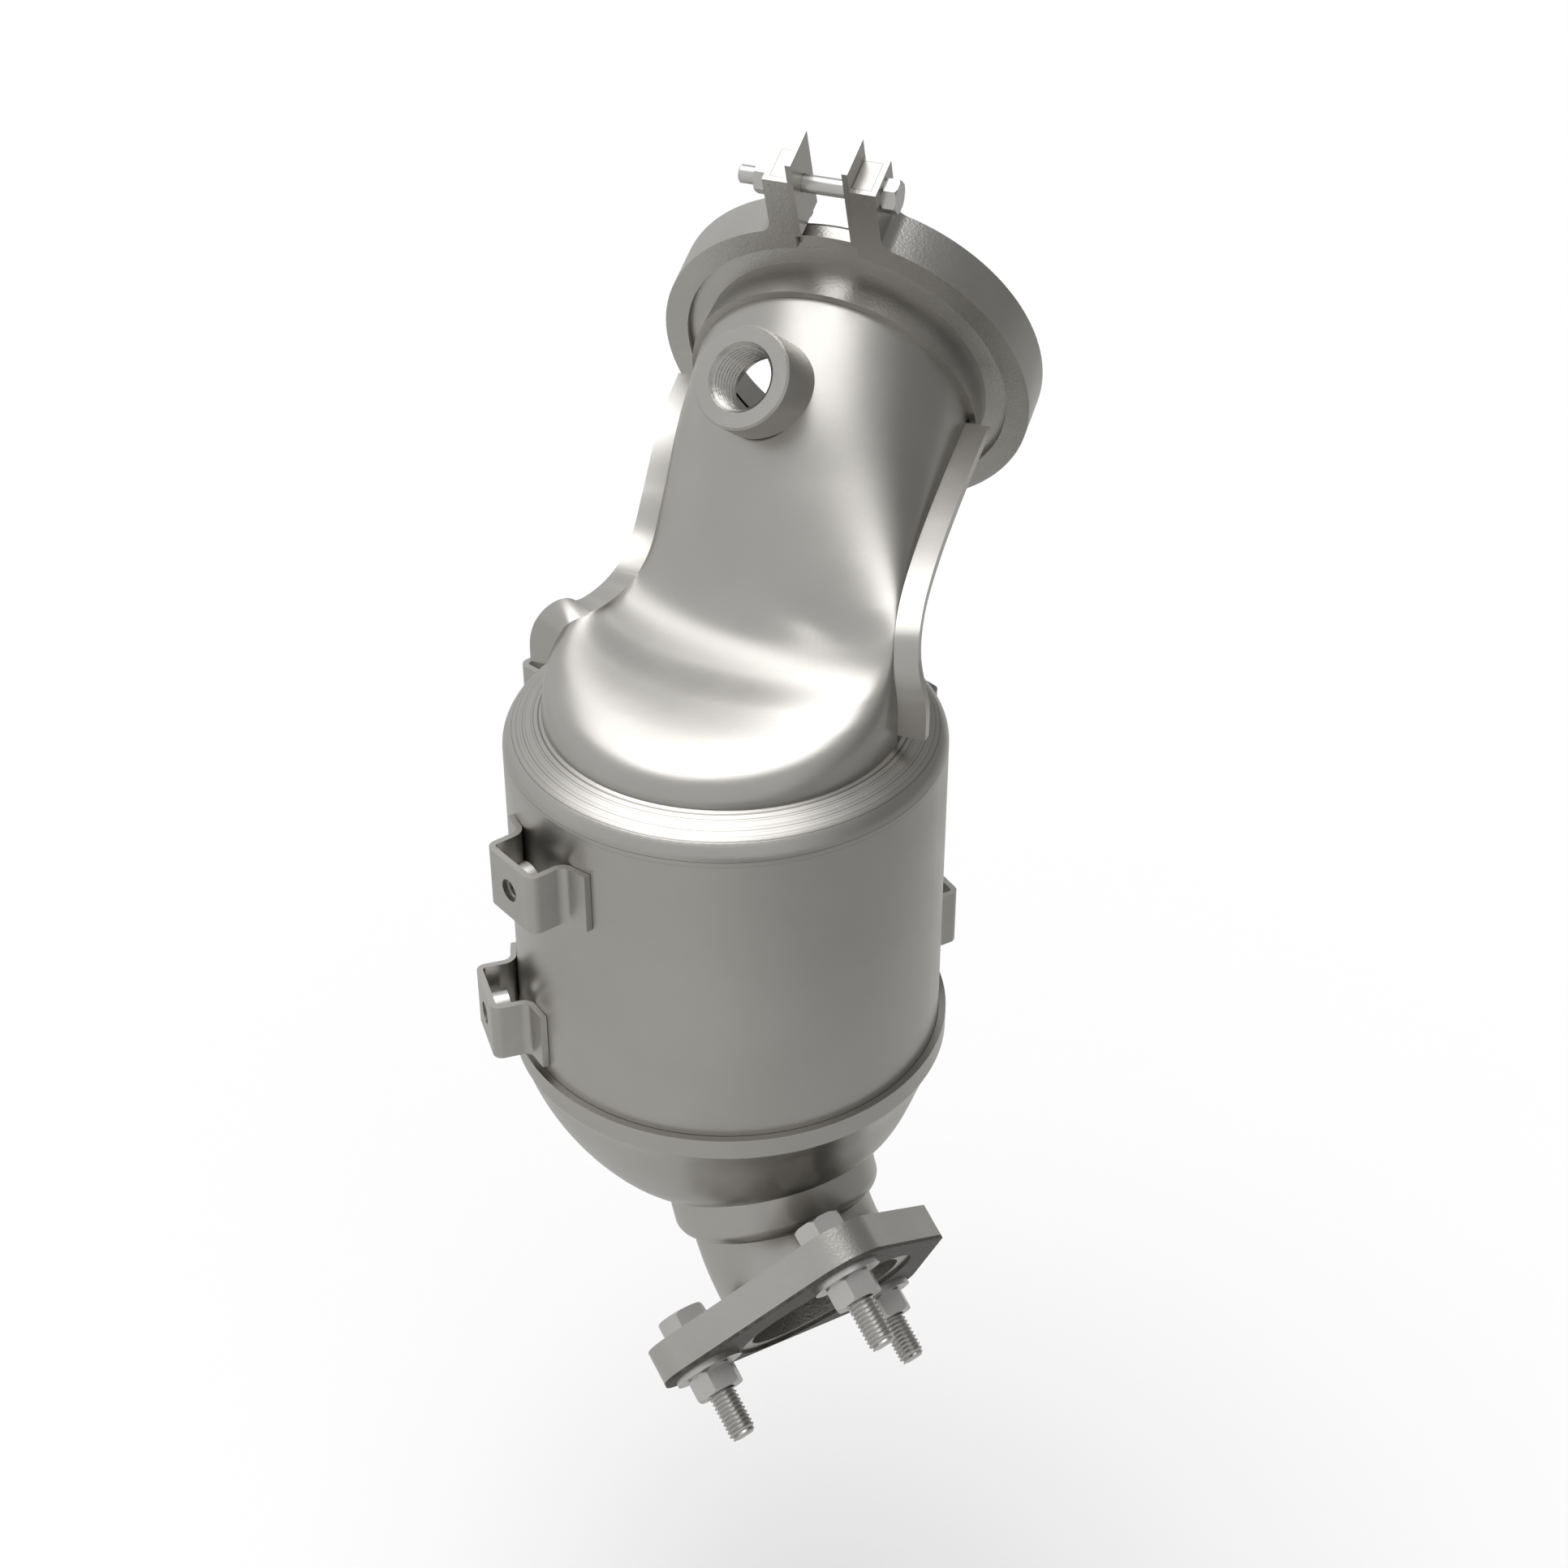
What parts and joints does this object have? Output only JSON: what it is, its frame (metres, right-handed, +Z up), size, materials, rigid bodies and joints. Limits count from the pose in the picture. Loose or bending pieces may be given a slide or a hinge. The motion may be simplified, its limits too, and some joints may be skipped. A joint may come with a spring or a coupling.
{
  "type": "catalytic converter",
  "caption": "Close-coupled catalytic converter: clamped angled inlet, pressed two-half hood with sensor boss, round can, offset outlet bend and bolted flange.",
  "frame": {"origin": "centre of the sealing face of the inlet flange", "axes": "+Z up along the axis of the round can, as in the picture; +Y is the level direction in which the inlet leans; +X to the right of it, seen from -Y"},
  "size_m": [0.1375, 0.2001, 0.3466],
  "materials": {
    "steel": "satin pressed sheet, warm mid grey",
    "shell_steel": "satin rolled sheet with fine turning marks at the shoulder",
    "turned_steel": "satin with a fine pebbled grain",
    "clamp_steel": "satin with a fine hammered grain outside",
    "fastener_steel": "bright plated",
    "bracket_steel": "satin folded strip",
    "inlet_gasket": "dark grey coated steel sheet",
    "outlet_gasket": "near black, streaked graphite on a steel core",
    "ceramic": "matt cordierite",
    "mat": "pale fibre mat"
  },
  "bodies": {
    "root": {"inlet_cone_front": "steel", "inlet_cone_rear": "steel", "outlet_cone": "steel", "outlet_collar": "steel", "outlet_pipe": "steel", "canister_shell": "shell_steel", "inlet_flange": "turned_steel", "outlet_flange": "turned_steel", "sensor_bung": "turned_steel", "clamp_band": "clamp_steel", "clamp_plate_left": "clamp_steel", "clamp_plate_right": "clamp_steel", "clamp_block_left": "clamp_steel", "clamp_block_right": "clamp_steel", "clamp_bolt": "clamp_steel", "clamp_nut": "clamp_steel", "flange_bolts": "fastener_steel", "flange_nuts": "fastener_steel", "flange_washers": "fastener_steel", "bracket_front_upper": "bracket_steel", "bracket_side_lower": "bracket_steel", "bracket_right_lower": "bracket_steel", "bracket_left_rear": "bracket_steel", "bracket_right_rear": "bracket_steel", "bracket_weld_nuts": "bracket_steel", "inlet_gasket": "inlet_gasket", "outlet_gasket": "outlet_gasket", "catalyst_brick": "ceramic", "support_mat": "mat"}
  },
  "joints": []
}
